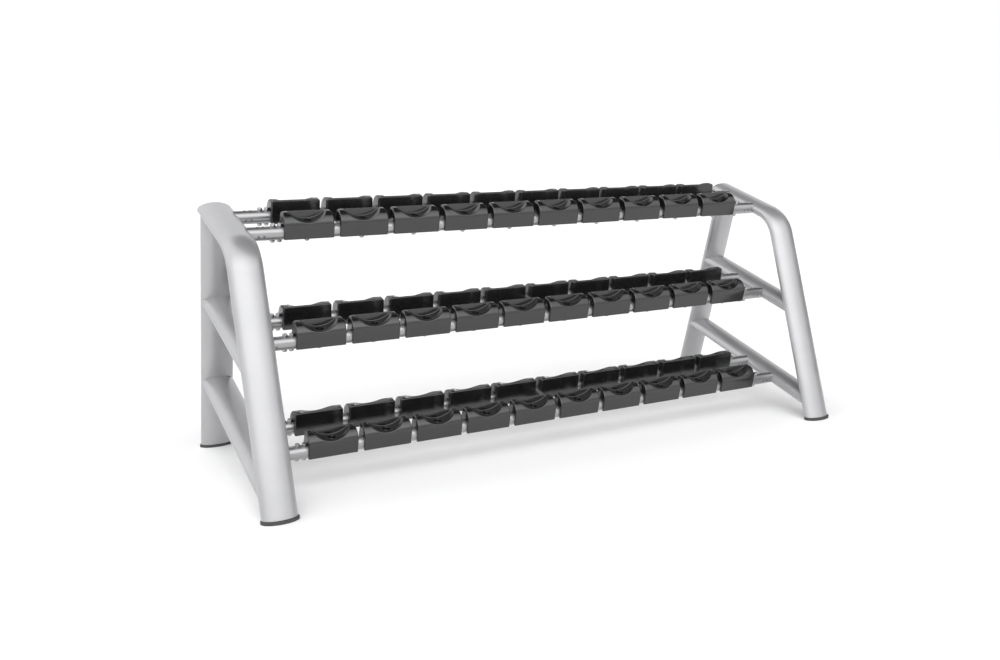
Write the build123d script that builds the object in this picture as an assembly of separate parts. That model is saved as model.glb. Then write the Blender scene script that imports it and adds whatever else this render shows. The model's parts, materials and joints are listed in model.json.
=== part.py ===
"""Three-tier dumbbell rack: two bent side frames, six round rails and sixty moulded saddles.

Millimetres, +Z up, +X along the rails, -Y towards the person using the rack.
The origin is on the floor, midway between the four feet.
"""
from build123d import *
from math import cos, radians, sin, tan
import os

# Tiers, each a pair of rails on a slope
tiers = ("top", "middle", "lower")
tier_slope = 15.2
tier_rise = 381.8
tier_setback = 90.5
lower_front_rail_y = -197.0
lower_front_rail_z = 137.9
handle_gap = 110.0

# Side frames
foot_spread = 910.0
leg_width = 124.0
leg_depth = 56.0
leg_wall = 3.0
tube_tip_radius = 17.0
front_leg_angle = 70.4
arm_bend_radius = 150.0
arm_overhang = 20.0
crossbar_width = 120.0
crossbar_depth = 56.0
weld_gap = 0.2

# Feet and end caps
foot_height = 12.0
foot_flange = 4.0
foot_bevel = 3.0
plug_length = 25.0
plug_clearance = 0.3
cap_thickness = 4.0
cap_bevel = 2.0

# Rails, the spigots that carry them and the braces that tie them at mid length
rail_diameter = 50.0
rail_wall = 3.0
rail_end_length = 113.0
rail_end_lap = 14.0
spigot_clearance = 0.3
spigot_length = 130.0
brace_width = 20.0
brace_height = 46.0

# Saddles
saddles_per_rail = 10
saddle_length = 186.0
saddle_gap = 24.0
saddle_skirt = 13.0
saddle_inner_wall = 4.8
saddle_outer_wall = 8.8
saddle_draft = 4.0
saddle_clearance = 0.2
shoulder_radius = 50.0
lip_thickness = 10.0
seat_radius = 100.0
seat_depth = 28.0
seat_floor = 17.8

# Fasteners
bolt_across_flats = 17.0
bolt_head_height = 6.4
bolt_clearance = 0.5
bolt_well_clearance = 1.2
bolt_well_floor = 2.5
nut_height = 10.0
rail_bolt_pitch = 25.0
bolts_per_rail_end = 2

# Sizes that follow from those above
slope = radians(tier_slope)
along = Vector(0, cos(slope), sin(slope))
normal = Vector(0, -sin(slope), cos(slope))
rail_radius = rail_diameter / 2
channel_radius = rail_radius + saddle_clearance
saddle_inner = channel_radius + saddle_inner_wall
saddle_outer = channel_radius + saddle_outer_wall
saddle_height = channel_radius + seat_floor + seat_depth
saddle_pitch = saddle_length + saddle_gap
row_end = (saddles_per_rail * saddle_pitch - saddle_gap) / 2
rail_spacing = handle_gap + 2 * saddle_inner
frame_x = row_end + rail_end_length + leg_width / 2
sides = {"left": -1, "right": 1}
rows = {"front": 0, "rear": 1}


def rail_axis(tier, row):
    """Point at mid length on the axis of a rail; row 0 is the front one and row 1 the rear one."""
    steps = len(tiers) - 1 - tiers.index(tier)
    front = Vector(0, lower_front_rail_y + steps * tier_setback, lower_front_rail_z + steps * tier_rise)
    return front + along * (row * rail_spacing)


def rail_frame(tier, row, x=0.0):
    """Plane on a rail's axis: local X along the rail, local Z square to the tier."""
    return Plane(origin=rail_axis(tier, row) + Vector(x, 0, 0), x_dir=(1, 0, 0), z_dir=normal)


def on_tier_line(tier, y, x):
    """Point at depth y on the sloping line through a tier's two rails."""
    front = rail_axis(tier, 0)
    return Vector(x, y, front.Z + (y - front.Y) * tan(slope))


def front_leg_y(z):
    """Depth of the front leg's axis at height z."""
    return -foot_spread / 2 + z / tan(radians(front_leg_angle))


def rear_leg_y(z):
    """Depth of the rear leg's axis at height z; it stands square to the tiers."""
    return foot_spread / 2 - z * tan(slope)


def meet(leg_y, tier, x):
    """Point where a leg's axis crosses the line of a tier."""
    foot_y = leg_y(0)
    lean = leg_y(1) - foot_y
    front = rail_axis(tier, 0)
    z = (front.Z + (foot_y - front.Y) * tan(slope)) / (1 - lean * tan(slope))
    return on_tier_line(tier, leg_y(z), x)


def oval(width, depth, inset, tip_radius=tube_tip_radius):
    """Oval of two tight end arcs and two broad side arcs, drawn in by an inset; wide along local X."""
    tip = width / 2 - tip_radius
    rise = depth / 2 - tip_radius
    broad_radius = (tip**2 + (depth / 2) ** 2 - tip_radius**2) / (2 * rise)
    drop = broad_radius - depth / 2
    share = (broad_radius - inset) / (broad_radius - tip_radius)
    x, y = tip * share, drop * share - drop
    top = ThreePointArc((-x, y), (0, depth / 2 - inset), (x, y))
    right = ThreePointArc((x, y), (width / 2 - inset, 0), (x, -y))
    bottom = ThreePointArc((x, -y), (0, inset - depth / 2), (-x, -y))
    left = ThreePointArc((-x, -y), (inset - width / 2, 0), (-x, y))
    return make_face(top + right + bottom + left)


def oval_bar(start, end, width, depth, inset):
    """Solid oval bar between two points in a plane of constant X, its wide axis along X."""
    path = Line(start, end)
    section = Plane(origin=start, x_dir=(1, 0, 0), z_dir=path % 0) * oval(width, depth, inset)
    return extrude(section, amount=path.length)


def front_leg_path(x):
    """Axis of the bent tube: up the leg, round the bend and back along the arm."""
    foot_point = Vector(x, front_leg_y(0), 0)
    end = meet(rear_leg_y, "top", x) + along * (leg_depth / 2 + arm_overhang)
    return FilletPolyline(foot_point, meet(front_leg_y, "top", x), end, radius=arm_bend_radius)


def front_leg_bar(x, inset):
    """Solid of the bent tube's outside, or of its bore with an inset."""
    path = front_leg_path(x)
    section = Plane(origin=path @ 0, x_dir=(1, 0, 0), z_dir=path % 0)
    return sweep(section * oval(leg_width, leg_depth, inset), path=path)


def rear_leg_bar(x, inset):
    """Solid of the straight rear leg, from the floor to the arm's axis."""
    foot_point = Vector(x, rear_leg_y(0), 0)
    return oval_bar(foot_point, meet(rear_leg_y, "top", x), leg_width, leg_depth, inset)


def crossbar(tier, x, inset):
    """Solid of a crossbar, from the front leg's axis to the rear leg's axis."""
    front = meet(front_leg_y, tier, x)
    rear = meet(rear_leg_y, tier, x)
    return oval_bar(front, rear, crossbar_width, crossbar_depth, inset)


def largest(part):
    """The main solid of a coped piece, without the off-cuts inside its neighbours."""
    return part.solids().sort_by(SortBy.VOLUME)[-1]


def above(part, height):
    """What is left of a leg when it is cut level at a height."""
    return split(part, Plane.XY.offset(height), keep=Keep.TOP)


def foot(leg_bar, x):
    """Rubber foot: an oval pad a little wider than the leg, with a plug up the leg's bore."""
    cut = above(leg_bar(x, 0), foot_height).faces().sort_by(Axis.Z)[0].bounding_box()
    plan = oval(cut.size.X, cut.size.Y, -foot_flange)
    pad = extrude(Pos(cut.center().X, cut.center().Y, 0) * plan, amount=foot_height)
    pad = chamfer(pad.faces().sort_by(Axis.Z)[-1].edges(), foot_bevel)
    bore = above(leg_bar(x, leg_wall + plug_clearance), foot_height)
    return pad + split(bore, Plane.XY.offset(foot_height + plug_length), keep=Keep.BOTTOM)


def arm_end_cap(x):
    """Cap that closes the arm's rear end, with a plug down its bore."""
    path = front_leg_path(x)
    end = Plane(origin=path @ 1, x_dir=(1, 0, 0), z_dir=path % 1)
    disc = extrude(oval(leg_width, leg_depth, 0), amount=cap_thickness)
    disc = chamfer(disc.faces().sort_by(Axis.Z)[-1].edges(), cap_bevel)
    plug = extrude(oval(leg_width, leg_depth, leg_wall + plug_clearance), amount=-plug_length)
    return end * (disc + plug)


def rail_tube(outer, wall, length):
    """Round tube centred on the origin, its axis along X."""
    return Rot(0, 90, 0) * extrude(Circle(outer) - Circle(outer - wall), amount=length / 2, both=True)


def saddle_profile():
    """End view of a saddle, local Y across the rail and local Z up; the seat opens towards -Y."""
    outer_top = -saddle_outer + saddle_draft
    face = make_face(Polyline(
        (saddle_inner, -saddle_skirt), (saddle_inner, saddle_height), (outer_top, saddle_height),
        (-saddle_outer, -saddle_skirt), close=True,
    ))
    shoulder = face.vertices().sort_by_distance((outer_top, saddle_height))[0]
    return fillet(shoulder, shoulder_radius)


def saddle():
    """Moulded cradle: a channel that straddles the rail, a round seat and a straight inner lip."""
    block = extrude(Plane.YZ * saddle_profile(), amount=saddle_length / 2, both=True)
    arch = Rot(0, 90, 0) * Cylinder(channel_radius, 2 * saddle_length)
    below = (Align.CENTER, Align.CENTER, Align.MAX)
    slot = Box(2 * saddle_length, 2 * channel_radius, 2 * saddle_skirt, align=below)

    standing = (Align.CENTER, Align.CENTER, Align.MIN)
    seat = Rot(90, 0, 0) * Cylinder(seat_radius, 2 * saddle_length, align=standing)
    seat = Pos(0, saddle_inner - lip_thickness, saddle_height - seat_depth + seat_radius) * seat

    well = Pos(0, 0, channel_radius + bolt_well_floor) * hex_prism(saddle_height, bolt_well_clearance)
    return block - arch - slot - seat - well


def hex_prism(height, clearance=0.0):
    """Bolt head, nut or the well round one, standing on its seat with two flats facing along the rail."""
    outline = RegularPolygon(bolt_across_flats / 2 + clearance, 6, major_radius=False, rotation=30)
    return extrude(outline, amount=height)


def save(name, solids):
    """Write one sub-part, a single solid or a group of like solids."""
    group = solids if isinstance(solids, list) else [solids]
    shape = group[0] if len(group) == 1 else Compound(children=group)
    shape.label = name
    export_step(shape, f"parts/{name}.step")


os.makedirs("parts", exist_ok=True)

# Side frames: a bent tube for the front leg and arm, a rear leg, crossbars, feet and an end cap
bars = {}
rear_bars = {}
front_feet = []
rear_feet = []
arm_end_caps = []
for side, sign in sides.items():
    x = sign * frame_x
    bent_clear = front_leg_bar(x, -weld_gap)
    rear_clear = rear_leg_bar(x, -weld_gap)
    bars["top", side] = bent_clear
    rear_bars[side] = rear_clear
    save(f"{side}_front_leg", above(front_leg_bar(x, 0) - front_leg_bar(x, leg_wall), foot_height))
    rear_tube = rear_leg_bar(x, 0) - rear_leg_bar(x, leg_wall) - bent_clear
    save(f"{side}_rear_leg", above(rear_tube, foot_height))
    for tier in tiers[1:]:
        bars[tier, side] = crossbar(tier, x, -weld_gap)
        tube = crossbar(tier, x, 0) - crossbar(tier, x, leg_wall) - bent_clear - rear_clear
        save(f"{side}_{tier}_crossbar", largest(tube))
    front_feet.append(foot(front_leg_bar, x))
    rear_feet.append(foot(rear_leg_bar, x))
    arm_end_caps.append(arm_end_cap(x))
save("front_feet", front_feet)
save("rear_feet", rear_feet)
save("arm_end_caps", arm_end_caps)

# Rails, coped to the bars and clear of the rear legs, and the spigots inside their ends
rail_length = 2 * (frame_x - leg_width / 2 + rail_end_lap)
spigot_radius = rail_radius - rail_wall - spigot_clearance
bar_widths = {"top": leg_width, "middle": crossbar_width, "lower": crossbar_width}
spigots = []
for tier in tiers:
    for row_name, row in rows.items():
        tube = rail_frame(tier, row) * rail_tube(rail_radius, rail_wall, rail_length)
        for side, sign in sides.items():
            tube = tube - bars[tier, side] - rear_bars[side]
            reach = frame_x - bar_widths[tier] / 2 - weld_gap - spigot_length / 2
            stub = rail_frame(tier, row, sign * reach) * Rot(0, 90, 0) * Cylinder(spigot_radius, spigot_length)
            spigots.append(largest(stub - rear_bars[side]))
        save(f"{tier}_{row_name}_rail", largest(tube))
save("rail_spigots", spigots)

# Braces between the two rails of each tier
for tier in tiers:
    bar = Rot(-90, 0, 0) * extrude(Rectangle(brace_width, brace_height), amount=rail_spacing)
    bar = rail_frame(tier, 0) * bar
    for row in rows.values():
        bar -= rail_frame(tier, row) * Rot(0, 90, 0) * Cylinder(rail_radius + weld_gap, 2 * brace_width)
    save(f"{tier}_centre_brace", largest(bar))

# Saddles, those of the rear rails turned to face the front ones, with a bolt and a nut each
one_saddle = saddle()
head = hex_prism(bolt_head_height)
nut = Pos(0, 0, -rail_radius - nut_height) * hex_prism(nut_height)
saddle_bolts = []
saddle_nuts = []
for tier in tiers:
    for row_name, row in rows.items():
        first = -saddle_pitch * (saddles_per_rail - 1) / 2
        places = [rail_frame(tier, row, first + i * saddle_pitch) for i in range(saddles_per_rail)]
        save(f"{tier}_{row_name}_saddles", [place * Rot(0, 0, 180 * row) * one_saddle for place in places])
        for place in places:
            saddle_bolts.append(place * Pos(0, 0, channel_radius + bolt_well_floor) * head)
            saddle_nuts.append(place * nut)
save("saddle_bolts", saddle_bolts)
save("saddle_nuts", saddle_nuts)

# Bolts that lock each rail to its spigots, beside the end saddles
rail_bolts = []
rail_nuts = []
for tier in tiers:
    for row in rows.values():
        for sign in sides.values():
            for i in range(bolts_per_rail_end):
                reach = row_end + bolt_clearance + bolt_across_flats / 2 + i * rail_bolt_pitch
                place = rail_frame(tier, row, sign * reach)
                rail_bolts.append(place * Pos(0, 0, rail_radius) * head)
                rail_nuts.append(place * nut)
save("rail_bolts", rail_bolts)
save("rail_nuts", rail_nuts)
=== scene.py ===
"""A three-tier dumbbell rack: silver tube frames and rails with black moulded saddles bolted on."""
import json
import math
import bpy
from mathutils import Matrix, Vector
from mathutils.geometry import intersect_line_line


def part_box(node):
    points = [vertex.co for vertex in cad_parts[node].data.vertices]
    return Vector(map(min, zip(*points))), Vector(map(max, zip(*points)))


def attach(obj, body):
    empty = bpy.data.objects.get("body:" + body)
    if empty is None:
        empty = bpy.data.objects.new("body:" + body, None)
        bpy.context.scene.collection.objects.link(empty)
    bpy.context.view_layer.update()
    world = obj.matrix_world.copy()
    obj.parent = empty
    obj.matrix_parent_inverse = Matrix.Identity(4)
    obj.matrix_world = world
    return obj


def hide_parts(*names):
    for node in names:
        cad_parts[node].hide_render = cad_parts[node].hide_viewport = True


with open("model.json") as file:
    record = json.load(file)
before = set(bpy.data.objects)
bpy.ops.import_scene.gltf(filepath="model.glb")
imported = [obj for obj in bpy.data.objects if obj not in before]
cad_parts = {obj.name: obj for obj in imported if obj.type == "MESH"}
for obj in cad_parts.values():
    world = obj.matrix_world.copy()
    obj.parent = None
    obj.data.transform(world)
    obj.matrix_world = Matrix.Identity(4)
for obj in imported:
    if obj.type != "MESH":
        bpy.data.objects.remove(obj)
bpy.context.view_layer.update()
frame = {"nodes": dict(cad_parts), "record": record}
feet = {mount["name"]: Vector(mount["pos_m"]) for mount in frame["record"]["mounts"]}

# Front legs
# Each side frame starts as one length of oval steel tube. It stands on the front foot, leans back
# and is bent over at the top into the arm that carries the top rails; the tube is powder coated.
leg_width = 0.124
leg_depth = 0.056
leg_angle = math.radians(70.4)
arm_bend_radius = 0.150
arm_overhang = 0.020
foot_height = 0.012
tube_facets = 96
bend_steps = 28
crease_angle = math.radians(35)
noise_range = (0.3, 0.7)


def rail_centre(tier, row):
    """Middle of a rail's axis."""
    low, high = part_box(f"{tier}_{row}_rail")
    return (low + high) / 2


def crossing(foot, direction, tier):
    """Where a leg that leaves its foot in a direction crosses the sloping line of a tier."""
    start = foot + Vector((0, 0, foot_height))
    rail_axes = (rail_centre(tier, "front"), rail_centre(tier, "rear"))
    tier_line = [Vector((foot.x, point.y, point.z)) for point in rail_axes]
    return intersect_line_line(start, start + direction, *tier_line)[0]


tier_direction = (rail_centre("top", "rear") - rail_centre("top", "front")).normalized()
tier_normal = Vector((0, -tier_direction.z, tier_direction.y))
tier_slope = math.atan2(tier_direction.z, tier_direction.y)
front_leg_direction = Vector((0, math.cos(leg_angle), math.sin(leg_angle)))
rear_leg_direction = tier_normal


def arm_end(side):
    """Middle of the rear end of an arm, a little behind the rear leg."""
    over_rear_leg = crossing(feet[f"rear_{side}_foot"], rear_leg_direction, "top")
    return over_rear_leg + tier_direction * (leg_depth / 2 + arm_overhang)


def set_in_place():
    """Put the place, turn and size of what is selected into its mesh."""
    bpy.ops.object.transform_apply(location=True, rotation=True, scale=True)


def pick(piece):
    """Select one piece alone and make it the active one."""
    bpy.ops.object.select_all(action="DESELECT")
    piece.select_set(True)
    bpy.context.view_layer.objects.active = piece


def oval_outline(centre, direction, width, depth):
    """Oval ring of vertices round a point, square to a direction in the plane of constant x."""
    bpy.ops.object.select_all(action="DESELECT")
    tilt = math.atan2(direction.z, direction.y) - math.pi / 2
    bpy.ops.mesh.primitive_circle_add(
        vertices=tube_facets, radius=0.5, location=centre, rotation=(tilt, 0, 0)
    )
    ring = bpy.context.object
    ring.scale = (width, depth, 1)
    set_in_place()
    bpy.ops.object.mode_set(mode="EDIT")
    bpy.ops.mesh.select_all(action="SELECT")
    return ring


def draw_out(step):
    """Extrude the selected ring along a vector, as tube."""
    bpy.ops.mesh.extrude_region_move(TRANSFORM_OT_translate={"value": step})


def close_ends():
    """Fill the open ends of the tube that is being edited and point its faces outwards."""
    bpy.ops.mesh.select_all(action="SELECT")
    bpy.ops.mesh.fill_holes(sides=0)
    bpy.ops.mesh.select_all(action="SELECT")
    bpy.ops.mesh.normals_make_consistent(inside=False)


def keep_above(height):
    """Cut the tube that is being edited level at a height, and close the cut."""
    bpy.ops.mesh.select_all(action="SELECT")
    bpy.ops.mesh.bisect(
        plane_co=(0, 0, height), plane_no=(0, 0, 1), use_fill=True, clear_inner=True
    )
    bpy.ops.object.mode_set(mode="OBJECT")


def finish_piece(piece, name, material, slot, *nodes):
    """Name, shade and paint a finished piece, and let it stand for its CAD nodes."""
    piece.name = piece.data.name = name
    pick(piece)
    bpy.ops.object.shade_smooth_by_angle(angle=crease_angle)
    piece.data.materials.clear()
    piece.data.materials.append(material)
    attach(piece, "root")
    if nodes:
        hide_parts(*nodes)


def new_finish(name):
    """Empty material with its node tree, its shader and the object's own coordinates."""
    material = bpy.data.materials.new(name)
    material.use_nodes = True
    tree = material.node_tree
    shader = tree.nodes["Principled BSDF"]
    place = tree.nodes.new("ShaderNodeTexCoord").outputs["Object"]
    return material, tree, shader, place


def speckle(tree, place, scale, detail):
    """Noise over a surface at a number of grains per metre."""
    noise = tree.nodes.new("ShaderNodeTexNoise")
    noise.inputs["Scale"].default_value = scale
    noise.inputs["Detail"].default_value = detail
    tree.links.new(place, noise.inputs["Vector"])
    return noise.outputs["Fac"]


def between(tree, noise, low, high):
    """Colour that runs from one value to another over the middle of a noise's range."""
    ramp = tree.nodes.new("ShaderNodeValToRGB")
    for element, position, colour in zip(ramp.color_ramp.elements, noise_range, (low, high)):
        element.position = position
        element.color = (*colour, 1)
    tree.links.new(noise, ramp.inputs["Fac"])
    return ramp.outputs["Color"]


def vary(tree, shader, noise, colours, roughness):
    """Let a noise move a finish between two colours and between two roughnesses."""
    greys = [(value,) * 3 for value in roughness]
    tree.links.new(between(tree, noise, *colours), shader.inputs["Base Color"])
    tree.links.new(between(tree, noise, *greys), shader.inputs["Roughness"])


def roughen(tree, shader, noise, depth):
    """Bump of a given depth in metres."""
    bump = tree.nodes.new("ShaderNodeBump")
    bump.inputs["Distance"].default_value = depth
    bump.inputs["Strength"].default_value = 1.0
    tree.links.new(noise, bump.inputs["Height"])
    tree.links.new(bump.outputs["Normal"], shader.inputs["Normal"])


def silver_powder_coat():
    """Satin silver-grey powder coat: faint cloudiness, uneven gloss and fine orange peel."""
    material, tree, shader, place = new_finish("silver_powder_coat")
    shader.inputs["Metallic"].default_value = 0.6
    clouds = speckle(tree, place, scale=7, detail=3)
    peel = speckle(tree, place, scale=650, detail=2)
    vary(
        tree, shader, clouds,
        colours=((0.42, 0.42, 0.432), (0.46, 0.46, 0.472)), roughness=(0.30, 0.36),
    )
    roughen(tree, shader, peel, depth=0.00012)
    return material


frame_finish = silver_powder_coat()
arm_turn = leg_angle - tier_slope
bend_tangent = arm_bend_radius * math.tan(arm_turn / 2)
bend_inwards = Vector((0, math.sin(leg_angle), -math.cos(leg_angle)))
front_legs = {}
for side in ("left", "right"):
    foot = feet[f"front_{side}_foot"]
    corner = crossing(foot, front_leg_direction, "top")
    bend_start = corner - front_leg_direction * bend_tangent
    bend_end = corner + tier_direction * bend_tangent
    leg_start = foot - front_leg_direction * foot_height
    leg = oval_outline(leg_start, front_leg_direction, leg_width, leg_depth)
    draw_out(bend_start - leg_start)
    bpy.ops.mesh.spin(
        steps=bend_steps, angle=arm_turn, axis=(1, 0, 0),
        center=bend_start + bend_inwards * arm_bend_radius,
    )
    draw_out(arm_end(side) - bend_end)
    close_ends()
    keep_above(foot_height)
    front_legs[side] = leg
    finish_piece(leg, f"{side}_leg_and_arm", frame_finish, "frame_paint", f"{side}_front_leg")

# Rear legs
# A straight length of the same oval tube under each arm, square to the tiers. Its top is coped to
# the arm and welded, and the two are coated together.
sliver = 1e-6


def cut_away(piece, tool, operation="DIFFERENCE"):
    """Cut a piece with another solid, which stays, and clear the slivers that a cut leaves."""
    cope = piece.modifiers.new("cope", "BOOLEAN")
    cope.object = tool
    cope.operation = operation
    cope.solver = "EXACT"
    pick(piece)
    bpy.ops.object.modifier_apply(modifier=cope.name)
    bpy.ops.object.mode_set(mode="EDIT")
    bpy.ops.mesh.select_all(action="SELECT")
    bpy.ops.mesh.dissolve_degenerate(threshold=sliver)
    bpy.ops.object.mode_set(mode="OBJECT")


rear_legs = {}
for side in ("left", "right"):
    foot = feet[f"rear_{side}_foot"]
    leg_start = foot - rear_leg_direction * foot_height
    leg = oval_outline(leg_start, rear_leg_direction, leg_width, leg_depth)
    draw_out(crossing(foot, rear_leg_direction, "top") - leg_start)
    close_ends()
    keep_above(foot_height)
    cut_away(leg, front_legs[side])
    rear_legs[side] = leg
    finish_piece(leg, f"{side}_back_leg", frame_finish, "frame_paint", f"{side}_rear_leg")

# Crossbars
# Two oval tubes between the legs of each side frame, sloping as the arm does. Both ends are coped
# to the legs and welded; the rails of the middle and lower tiers are carried on them.
crossbar_width = 0.120
crossbar_depth = 0.056
rail_carriers = {("top", side): front_legs[side] for side in front_legs}
for side in ("left", "right"):
    for tier in ("middle", "lower"):
        front = crossing(feet[f"front_{side}_foot"], front_leg_direction, tier)
        rear = crossing(feet[f"rear_{side}_foot"], rear_leg_direction, tier)
        bar = oval_outline(front, tier_direction, crossbar_width, crossbar_depth)
        draw_out(rear - front)
        close_ends()
        bpy.ops.object.mode_set(mode="OBJECT")
        cut_away(bar, front_legs[side])
        cut_away(bar, rear_legs[side])
        rail_carriers[tier, side] = bar
        node = f"{side}_{tier}_crossbar"
        finish_piece(bar, f"{side}_{tier}_bar", frame_finish, "frame_paint", node)

# Feet
# A moulded rubber shoe under each leg: an oval pad with a rounded shoulder and a bevelled sole,
# held by a plug up the leg's bore.
foot_flange = 0.004
foot_shoulder = 0.004
sole_bevel = 0.0012
hairline = 1e-5


def dark_rubber():
    """Moulded dark rubber with a dull, slightly uneven skin."""
    material, tree, shader, place = new_finish("dark_rubber")
    mottle = speckle(tree, place, scale=60, detail=4)
    grain = speckle(tree, place, scale=1400, detail=2)
    vary(
        tree, shader, mottle,
        colours=((0.040, 0.040, 0.042), (0.055, 0.055, 0.057)), roughness=(0.55, 0.68),
    )
    roughen(tree, shader, grain, depth=0.0001)
    return material


def select_edges(piece, wanted):
    """Select the edges whose two ends pass a test, and leave the piece in edit mode."""
    bpy.ops.object.mode_set(mode="EDIT")
    bpy.ops.mesh.select_mode(type="EDGE")
    bpy.ops.mesh.select_all(action="DESELECT")
    bpy.ops.object.mode_set(mode="OBJECT")
    points = piece.data.vertices
    for edge in piece.data.edges:
        edge.select = all(wanted(points[i].co) for i in edge.vertices)
    bpy.ops.object.mode_set(mode="EDIT")


def join_all(pieces):
    """Join solids into the first of them."""
    bpy.ops.object.select_all(action="DESELECT")
    for piece in pieces:
        piece.select_set(True)
    bpy.context.view_layer.objects.active = pieces[0]
    bpy.ops.object.join()
    return pieces[0]


foot_finish = dark_rubber()
for row, direction in (("front", front_leg_direction), ("rear", rear_leg_direction)):
    pad_width = leg_width + 2 * foot_flange
    pad_depth = leg_depth / direction.z + 2 * foot_flange
    pads = []
    for side in ("left", "right"):
        pad = oval_outline(feet[f"{row}_{side}_foot"], Vector((0, 0, 1)), pad_width, pad_depth)
        draw_out((0, 0, foot_height))
        close_ends()
        bpy.ops.object.mode_set(mode="OBJECT")
        select_edges(pad, lambda co: co.z > foot_height - hairline)
        bpy.ops.mesh.bevel(offset=foot_shoulder, segments=5, affect="EDGES")
        select_edges(pad, lambda co: co.z < hairline)
        bpy.ops.mesh.bevel(offset=sole_bevel, segments=2, affect="EDGES")
        bpy.ops.object.mode_set(mode="OBJECT")
        pads.append(pad)
    finish_piece(join_all(pads), f"{row}_leg_shoes", foot_finish, "foot_rubber", f"{row}_feet")

# Arm end caps
# A moulded cap closes the rear end of each arm: a thin oval disc with a softened edge, pushed in
# flush with the outside of the tube.
cap_thickness = 0.004
cap_edge = 0.0025
caps = []
for side in ("left", "right"):
    cap_start = arm_end(side)
    cap = oval_outline(cap_start, tier_direction, leg_width, leg_depth)
    draw_out(tier_direction * cap_thickness)
    close_ends()
    bpy.ops.object.mode_set(mode="OBJECT")
    face_reach = cap_start.dot(tier_direction) + cap_thickness
    select_edges(cap, lambda co: co.dot(tier_direction) > face_reach - hairline)
    bpy.ops.mesh.bevel(offset=cap_edge, segments=4, affect="EDGES")
    bpy.ops.object.mode_set(mode="OBJECT")
    caps.append(cap)
finish_piece(join_all(caps), "arm_plugs", foot_finish, "cap_plastic", "arm_end_caps")

# Rails
# Six round tubes, brighter than the frames. Their ends slide over spigots, which are welded to the
# arms and crossbars and stay hidden, and are notched to sit close against the oval bars.
rail_radius = 0.025
rail_facets = 72


def bright_silver_coat():
    """Metallic silver coat, glossier than the frame's, with faint marks drawn along the tube."""
    material, tree, shader, place = new_finish("bright_silver_coat")
    shader.inputs["Metallic"].default_value = 0.85
    stretch = tree.nodes.new("ShaderNodeMapping")
    stretch.inputs["Scale"].default_value = (0.04, 1, 1)
    tree.links.new(place, stretch.inputs["Vector"])
    drawn = speckle(tree, stretch.outputs["Vector"], scale=420, detail=3)
    vary(
        tree, shader, drawn,
        colours=((0.34, 0.34, 0.346), (0.39, 0.39, 0.396)), roughness=(0.27, 0.34),
    )
    roughen(tree, shader, drawn, depth=0.00002)
    return material


def plain_steel():
    """Bare turned steel."""
    material, tree, shader, place = new_finish("plain_steel")
    shader.inputs["Metallic"].default_value = 1.0
    mottle = speckle(tree, place, scale=90, detail=4)
    vary(
        tree, shader, mottle,
        colours=((0.38, 0.38, 0.39), (0.48, 0.48, 0.49)), roughness=(0.35, 0.5),
    )
    return material


rail_finish = bright_silver_coat()
spigot_slots = frame["nodes"]["rail_spigots"].data.materials
spigot_slots.clear()
spigot_slots.append(plain_steel())
rails = {}
for tier in ("top", "middle", "lower"):
    for row in ("front", "rear"):
        low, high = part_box(f"{tier}_{row}_rail")
        bpy.ops.object.select_all(action="DESELECT")
        bpy.ops.mesh.primitive_cylinder_add(
            vertices=rail_facets, radius=rail_radius, depth=high.x - low.x,
            location=rail_centre(tier, row), rotation=(0, math.pi / 2, 0),
        )
        rail = bpy.context.object
        set_in_place()
        for side in ("left", "right"):
            cut_away(rail, rail_carriers[tier, side])
        rails[tier, row] = rail
        finish_piece(
            rail, f"{tier}_{row}_tube", rail_finish, "rail_metal", f"{tier}_{row}_rail"
        )

# Centre braces
# A short flat bar ties the two rails of a tier together at mid length. Its ends are coped to the
# rails and welded, and its corners are softened by the coat.
brace_width = 0.020
brace_height = 0.046
brace_corner = 0.002
for tier in ("top", "middle", "lower"):
    front, rear = rail_centre(tier, "front"), rail_centre(tier, "rear")
    bpy.ops.object.select_all(action="DESELECT")
    bpy.ops.mesh.primitive_cube_add(
        size=1, location=(front + rear) / 2, rotation=(tier_slope, 0, 0)
    )
    brace = bpy.context.object
    brace.scale = (brace_width, (rear - front).length, brace_height)
    set_in_place()
    bpy.ops.object.mode_set(mode="EDIT")
    bpy.ops.mesh.select_all(action="SELECT")
    bpy.ops.mesh.bevel(offset=brace_corner, segments=3, affect="EDGES")
    bpy.ops.object.mode_set(mode="OBJECT")
    for row in ("front", "rear"):
        cut_away(brace, rails[tier, row])
    finish_piece(brace, f"{tier}_tie_bar", rail_finish, "rail_metal", f"{tier}_centre_brace")

# Saddles
# Sixty moulded cradles, ten on each rail, in facing pairs, each bolted down from a well. An arched
# channel straddles the rail; the round seat is open outwards, with a lip over a flared inner wall.
saddles_per_rail = 10
saddle_pitch = 0.210
saddle_half_length = 0.093
saddle_outer = 0.034
saddle_inner = 0.030
saddle_top = 0.071
saddle_skirt = 0.016
saddle_draft = 0.004
shoulder_radius = 0.050
lip_thickness = 0.0075
lip_draft = 0.0025
channel_radius = 0.0252
seat_radius = 0.100
seat_depth = 0.028
seat_entry_radius = 0.014
rim_round = 0.003
corner_round = 0.0035
ridge_round = 0.0045
end_round = 0.0045
end_top_round = 0.0100
end_steps = 9
inner_flare = 0.012
most_of_floor = 0.4
most_of_height = 0.45
well_radius = 0.0135
well_chamfer = 0.0012
chamfer_reach = 3 * well_chamfer
well_floor = 0.0277
well_facets = 40


def line(start, end, steps):
    """Evenly spaced points from start up to, but not including, end."""
    return [Vector(start).lerp(Vector(end), i / steps) for i in range(steps)]


def arc(centre, radius, start, end, steps):
    """Evenly spaced points of an arc, its last one left out; angles in radians."""
    points = []
    for i in range(steps):
        angle = start + (end - start) * i / steps
        points.append(Vector(centre) + radius * Vector((math.cos(angle), math.sin(angle))))
    return points


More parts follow.
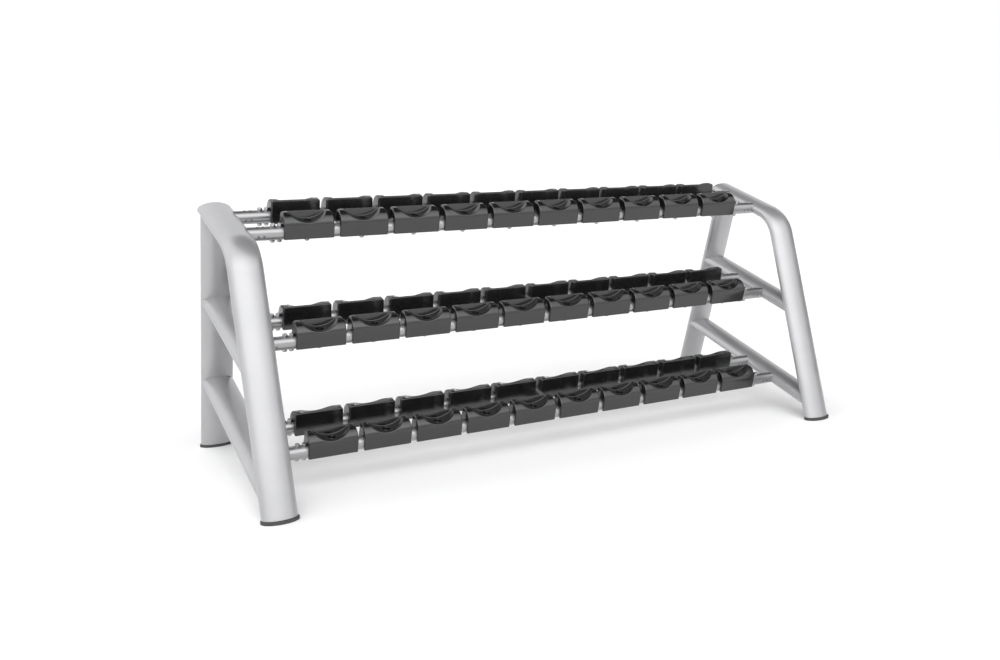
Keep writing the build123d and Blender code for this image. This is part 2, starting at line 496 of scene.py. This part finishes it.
def rounded(before, corner, after, steps):
    """Points of the curve that rounds a corner, its last one left out."""
    points = []
    for i in range(steps):
        share = i / steps
        points.append(before.lerp(corner, share).lerp(corner.lerp(after, share), share))
    return points


def seat_stations():
    """Places along half a saddle, from its middle out: x, heights of seat and top, and inset."""
    axis = Vector((0, saddle_top - seat_depth + seat_radius))
    reach = seat_radius + seat_entry_radius
    entry_z = saddle_top - seat_entry_radius
    entry = Vector((math.sqrt(reach**2 - (axis.y - entry_z) ** 2), entry_z))
    opening = math.atan2(entry.x, axis.y - entry.y)
    end_start = saddle_half_length - end_top_round
    outline = arc(axis, seat_radius, -math.pi / 2, opening - math.pi / 2, steps=14)
    outline += arc(entry, seat_entry_radius, opening + math.pi / 2, math.pi / 2, steps=5)
    outline += line((entry.x, saddle_top), (end_start, saddle_top), steps=3)
    stations = [(x, seat, saddle_top, 0) for x, seat in outline]
    for i in range(end_steps + 1):
        angle = math.pi / 2 * i / end_steps
        x = saddle_half_length - end_top_round * (1 - math.sin(angle))
        into_round = max(0, x - saddle_half_length + end_round)
        inset = end_round - math.sqrt(end_round**2 - into_round**2)
        top = saddle_top - end_top_round * (1 - math.cos(angle)) + inset
        stations.append((x, top, top, inset))
    return stations


def outer_side(seat, steps):
    """Points up the outer wall and shoulder, the place where the rim's round starts, the rim."""
    lean = saddle_draft / (saddle_top + saddle_skirt)
    centre_z = saddle_top - shoulder_radius
    wall_there = -saddle_outer + (centre_z + saddle_skirt) * lean
    centre = Vector((wall_there + shoulder_radius * math.hypot(1, lean), centre_z))
    foot = Vector((-saddle_outer, -saddle_skirt))
    upwards = Vector((lean, 1)).normalized()
    wall_top = centre_z + shoulder_radius * math.sin(math.atan(lean))
    wall_length = (wall_top - foot.y) / upwards.y

    def along(distance):
        if distance <= wall_length:
            return foot + upwards * distance
        angle = math.pi - math.atan(lean) - (distance - wall_length) / shoulder_radius
        return centre + shoulder_radius * Vector((math.cos(angle), math.sin(angle)))

    rim_distance = (seat - foot.y) / upwards.y
    if rim_distance > wall_length:
        angle = math.pi - math.asin(min(1, (seat - centre_z) / shoulder_radius))
        rim_distance = wall_length + shoulder_radius * (math.pi - math.atan(lean) - angle)
    stop = rim_distance - rim_round
    return [along(stop * i / steps) for i in range(steps)], along(stop), along(rim_distance)


def saddle_outline(seat, top, inset):
    """Closed outline of a saddle across the rail, with its seat and top at two heights."""
    lip = saddle_inner - lip_thickness
    bottom = -saddle_skirt
    height = top - seat
    outer, rim_start, rim = outer_side(seat, steps=22)
    corner = Vector((lip - lip_draft * height / seat_depth, seat))
    edge = Vector((lip, top))
    ridge = Vector((saddle_inner, top))
    sole = Vector((saddle_inner + inner_flare, bottom))
    room_across = most_of_floor * (corner.x - rim.x)
    room_up = most_of_height * height
    rim_end = rim + Vector((min(rim_round, room_across), 0))
    corner_start = corner - Vector((min(corner_round, room_across), 0))
    corner_end = corner + Vector((0, min(corner_round, room_up)))
    edge_start = edge - Vector((0, min(rim_round, room_up)))
    edge_end = edge + Vector((rim_round, 0))
    ridge_start = ridge - Vector((ridge_round, 0))
    ridge_end = ridge + ridge_round * (sole - ridge).normalized()
    over = outer + rounded(rim_start, rim, rim_end, steps=5)
    over += line(rim_end, corner_start, steps=4)
    over += rounded(corner_start, corner, corner_end, steps=5)
    over += line(corner_end, edge_start, steps=2)
    over += rounded(edge_start, edge, edge_end, steps=4)
    over += line(edge_end, ridge_start, steps=1)
    over += rounded(ridge_start, ridge, ridge_end, steps=6)
    over += line(ridge_end, sole, steps=3) + [sole]
    drawn_in = []
    for i, point in enumerate(over):
        behind = [other for other in over[:i] if (other - point).length > sliver] or [point]
        ahead = [other for other in over[i + 1 :] if (other - point).length > sliver] or [point]
        run = (ahead[0] - behind[-1]).normalized()
        at_sole = i in (0, len(over) - 1)
        drawn_in.append(point + inset * Vector((run.y, 0 if at_sole else -run.x)))
    under = line((channel_radius, bottom), (channel_radius, 0), steps=1)
    under += arc((0, 0), channel_radius, 0, math.pi, steps=18)
    under += line((-channel_radius, 0), (-channel_radius, bottom), steps=1)
    return drawn_in + under + [Vector((-channel_radius, bottom))]


def moulded_black():
    """Satin black moulding: fine spark-eroded grain, with soft cloudiness in its gloss."""
    material, tree, shader, place = new_finish("moulded_black")
    shader.inputs["IOR"].default_value = 1.6
    shader.inputs["Specular IOR Level"].default_value = 0.62
    mottle = speckle(tree, place, scale=28, detail=4)
    grain = speckle(tree, place, scale=1100, detail=3)
    vary(
        tree, shader, mottle,
        colours=((0.008, 0.008, 0.0083), (0.012, 0.012, 0.0124)), roughness=(0.10, 0.17),
    )
    roughen(tree, shader, grain, depth=0.00008)
    return material


half = seat_stations()
stations = [(-x, *rest) for x, *rest in reversed(half[1:])] + half
outlines = [saddle_outline(*rest) for _, *rest in stations]
spans, around = len(stations) - 1, len(outlines[0])
bpy.ops.object.select_all(action="DESELECT")
bpy.ops.mesh.primitive_grid_add(x_subdivisions=spans, y_subdivisions=around, size=1)
saddle = bpy.context.object
for point in saddle.data.vertices:
    i = round((point.co.x + 0.5) * spans)
    j = round((point.co.y + 0.5) * around) % around
    point.co = (stations[i][0], *outlines[i][j])
bpy.ops.object.mode_set(mode="EDIT")
bpy.ops.mesh.select_all(action="SELECT")
bpy.ops.mesh.remove_doubles(threshold=hairline)
close_ends()
bpy.ops.object.mode_set(mode="OBJECT")
bpy.ops.object.select_all(action="DESELECT")
bpy.ops.mesh.primitive_cylinder_add(
    vertices=well_facets, radius=well_radius, depth=saddle_top,
    location=(0, 0, well_floor + saddle_top / 2),
)
well = bpy.context.object
set_in_place()
cut_away(saddle, well)
bpy.data.objects.remove(well)
bpy.ops.object.select_all(action="DESELECT")
bpy.ops.mesh.primitive_cone_add(
    vertices=well_facets, radius1=well_radius - well_chamfer,
    radius2=well_radius + chamfer_reach, depth=well_chamfer + chamfer_reach,
    location=(0, 0, saddle_top - seat_depth + well_chamfer),
)
chamfer = bpy.context.object
set_in_place()
cut_away(saddle, chamfer)
bpy.data.objects.remove(chamfer)


def copies_at(pattern, places):
    """Copies of a piece, each with its own mesh, at places that each come with a turn."""
    made = []
    for place, turn in places:
        pick(pattern)
        bpy.ops.object.duplicate(linked=False)
        copy = bpy.context.object
        copy.rotation_euler = turn
        copy.location = place
        set_in_place()
        made.append(copy)
    return made


saddle_finish = moulded_black()
square_to_tier = (tier_slope, 0, 0)
saddle_turns = {"front": square_to_tier, "rear": (-tier_slope, 0, math.pi)}
first_saddle = -saddle_pitch * (saddles_per_rail - 1) / 2
saddle_places = {}
for tier in ("top", "middle", "lower"):
    for row in ("front", "rear"):
        places = [
            rail_centre(tier, row) + Vector((first_saddle + i * saddle_pitch, 0, 0))
            for i in range(saddles_per_rail)
        ]
        saddle_places[tier, row] = places
        cradles = join_all(copies_at(saddle, [(place, saddle_turns[row]) for place in places]))
        name, node = f"{tier}_{row}_cradles", f"{tier}_{row}_saddles"
        finish_piece(cradles, name, saddle_finish, "saddle_plastic", node)
bpy.data.objects.remove(saddle)

# Saddle and rail bolts
# Zinc-plated hexagon bolts: one in the well of each saddle, and two through each rail end that
# lock the rail on its spigot. The heads are chamfered and their nuts show under the rails.
bolt_across_flats = 0.017
head_height = 0.0064
rail_head_height = 0.0100
nut_height = 0.008
cone_foot = 1.6
cone_tip = 0.46
cone_height = 1.6
cone_middle = 0.2
tip_radius = 0.005
tip_length = 0.002
tip_bevel = 0.0012
rail_bolt_reach = (1.047, 1.072)


def bright_zinc():
    """Bright zinc plating with a faint patchy lustre."""
    material, tree, shader, place = new_finish("bright_zinc")
    shader.inputs["Metallic"].default_value = 1.0
    patches = speckle(tree, place, scale=160, detail=4)
    vary(
        tree, shader, patches,
        colours=((0.40, 0.40, 0.41), (0.50, 0.50, 0.51)), roughness=(0.18, 0.3),
    )
    return material


def hexagon(height):
    """Six-sided head or nut on the origin, its upper corners turned off by a cone."""
    corner_radius = bolt_across_flats / 2 / math.cos(math.pi / 6)
    bpy.ops.object.select_all(action="DESELECT")
    bpy.ops.mesh.primitive_cylinder_add(
        vertices=6, radius=corner_radius, depth=height, location=(0, 0, height / 2)
    )
    prism = bpy.context.object
    set_in_place()
    bpy.ops.object.select_all(action="DESELECT")
    bpy.ops.mesh.primitive_cone_add(
        vertices=36, radius1=corner_radius * cone_foot, radius2=bolt_across_flats * cone_tip,
        depth=height * cone_height, location=(0, 0, height * cone_middle),
    )
    turned = bpy.context.object
    set_in_place()
    cut_away(prism, turned, "INTERSECT")
    bpy.data.objects.remove(turned)
    return prism


zinc_finish = bright_zinc()
head = hexagon(head_height)
rail_head = hexagon(rail_head_height)
nut = hexagon(nut_height)
bpy.ops.object.select_all(action="DESELECT")
bpy.ops.mesh.primitive_cylinder_add(
    vertices=24, radius=tip_radius, depth=tip_length * 2, location=(0, 0, nut_height)
)
tip = bpy.context.object
set_in_place()
select_edges(tip, lambda co: co.z > nut_height + tip_length - hairline)
bpy.ops.mesh.bevel(offset=tip_bevel, segments=2, affect="EDGES")
bpy.ops.object.mode_set(mode="OBJECT")
nut = join_all([nut, tip])
nut.rotation_euler = (math.pi, 0, 0)
set_in_place()

saddle_bolt_places = [place for places in saddle_places.values() for place in places]
rail_bolt_places = []
for tier, row in saddle_places:
    for sign in (-1, 1):
        for reach in rail_bolt_reach:
            rail_bolt_places.append(rail_centre(tier, row) + Vector((sign * reach, 0, 0)))
for name, node, pattern, places, lift in (
    ("saddle_bolt_heads", "saddle_bolts", head, saddle_bolt_places, well_floor),
    ("saddle_lock_nuts", "saddle_nuts", nut, saddle_bolt_places, -rail_radius),
    ("rail_bolt_heads", "rail_bolts", rail_head, rail_bolt_places, rail_radius),
    ("rail_lock_nuts", "rail_nuts", nut, rail_bolt_places, -rail_radius),
):
    seats = [(place + tier_normal * lift, square_to_tier) for place in places]
    group = join_all(copies_at(pattern, seats))
    finish_piece(group, name, zinc_finish, "fastener_zinc", node)
for pattern in (head, rail_head, nut):
    bpy.data.objects.remove(pattern)

# Set screws
# Small black button-headed screws pinch each rail end on its spigot, between the bolts and the
# frame. Two show as low domes on top of the rail, and two more on its front.
screw_reach = (1.1075, 1.128)
screw_radius = 0.0046
screw_height = 0.0018
screw_angles = (0, 96)


def blackened_steel():
    """Black-oxide finish of small socket screws, oily and slightly uneven."""
    material, tree, shader, place = new_finish("blackened_steel")
    shader.inputs["Metallic"].default_value = 0.8
    patches = speckle(tree, place, scale=300, detail=3)
    vary(
        tree, shader, patches,
        colours=((0.15, 0.15, 0.155), (0.22, 0.22, 0.225)), roughness=(0.28, 0.42),
    )
    return material


bpy.ops.object.select_all(action="DESELECT")
bpy.ops.mesh.primitive_uv_sphere_add(segments=24, ring_count=12, radius=screw_radius)
button = bpy.context.object
button.scale = (1, 1, screw_height / screw_radius)
set_in_place()
screw_places = []
for tier, row in saddle_places:
    for sign in (-1, 1):
        for reach in screw_reach:
            for degrees in screw_angles:
                turn = tier_slope + math.radians(degrees)
                out = Vector((0, -math.sin(turn), math.cos(turn)))
                on_axis = rail_centre(tier, row) + Vector((sign * reach, 0, 0))
                screw_places.append((on_axis + out * rail_radius, (turn, 0, 0)))
screws = join_all(copies_at(button, screw_places))
bpy.data.objects.remove(button)
finish_piece(screws, "rail_set_screws", blackened_steel(), "fastener_zinc")

# Studio
# A plain pale floor under a soft white sky, which is brightest in front and has two dark gaps for
# contrast in the gloss. The camera stands where the picture was taken from.
floor_size = 60
bpy.ops.object.select_all(action="DESELECT")
bpy.ops.mesh.primitive_plane_add(size=floor_size)
floor = bpy.context.object
floor.name = "studio_floor"
floor_finish, _, shader, _ = new_finish("studio_white")
shader.inputs["Base Color"].default_value = (0.97, 0.97, 0.97, 1)
shader.inputs["Roughness"].default_value = 0.9
floor.data.materials.append(floor_finish)

backdrop_level = 1.0
horizon_edge = (0.18, 0.40)
key_side = Vector((-0.12, -0.87, 0.475))
key_edge = (0.70, 0.96)
key_level = 2.65
front_level = 1.50
rear_level = 1.20
rear_side = Vector((0.48, 0.88, 0))
rear_edge = (0.15, 0.60)
dark_patches = (
    (Vector((0.46, 0.20, 0.865)), (0.80, 0.92), 0.02),
    (Vector((0.985, -0.050, 0.165)), (0.82, 0.96), 0.10),
)


def blend_over(tree, value, edge, low, high):
    """Smooth change between two levels, numbers or sockets, while a value crosses an edge."""
    blend = tree.nodes.new("ShaderNodeMapRange")
    blend.interpolation_type = "SMOOTHSTEP"
    blend.inputs["From Min"].default_value, blend.inputs["From Max"].default_value = edge
    tree.links.new(value, blend.inputs["Value"])
    for name, level in (("To Min", low), ("To Max", high)):
        if isinstance(level, float):
            blend.inputs[name].default_value = level
        else:
            tree.links.new(level, blend.inputs[name])
    return blend.outputs["Result"]


def studio_sky():
    """White at eye level and brighter overhead, with a key light in front and two dark gaps.

    Where the camera sees the sky itself, it is a plain white backdrop.
    """
    world = bpy.data.worlds.new("studio")
    world.use_nodes = True
    tree = world.node_tree
    direction = tree.nodes.new("ShaderNodeTexCoord").outputs["Generated"]

    def towards(side):
        facing = tree.nodes.new("ShaderNodeVectorMath")
        facing.operation = "DOT_PRODUCT"
        facing.inputs[1].default_value = side
        tree.links.new(direction, facing.inputs[0])
        return facing.outputs["Value"]

    front = blend_over(tree, towards(key_side), key_edge, front_level, key_level)
    overhead = blend_over(tree, towards(rear_side), rear_edge, front, rear_level)
    upwards = towards(Vector((0, 0, 1)))
    level = blend_over(tree, upwards, horizon_edge, backdrop_level, overhead)
    for side, edge, dark_level in dark_patches:
        level = blend_over(tree, towards(side), edge, level, dark_level)
    seen_directly = tree.nodes.new("ShaderNodeLightPath").outputs["Is Camera Ray"]
    level = blend_over(tree, seen_directly, (0.0, 1.0), level, backdrop_level)
    tree.links.new(level, tree.nodes["Background"].inputs["Strength"])
    tree.nodes["Background"].inputs["Color"].default_value = (1, 1, 1, 1)
    return world


bpy.context.scene.world = studio_sky()

camera_place = (-2.0415, -3.4876, 1.2880)
camera_dip = 11.87
camera_turn = -28.57
bpy.ops.object.camera_add(
    location=camera_place,
    rotation=(math.radians(90 - camera_dip), 0, math.radians(camera_turn)),
)
camera = bpy.context.object
camera.data.sensor_fit = "HORIZONTAL"
camera.data.sensor_width = 36
camera.data.lens = 35.62
bpy.context.scene.camera = camera
bpy.context.scene.view_settings.view_transform = "Standard"
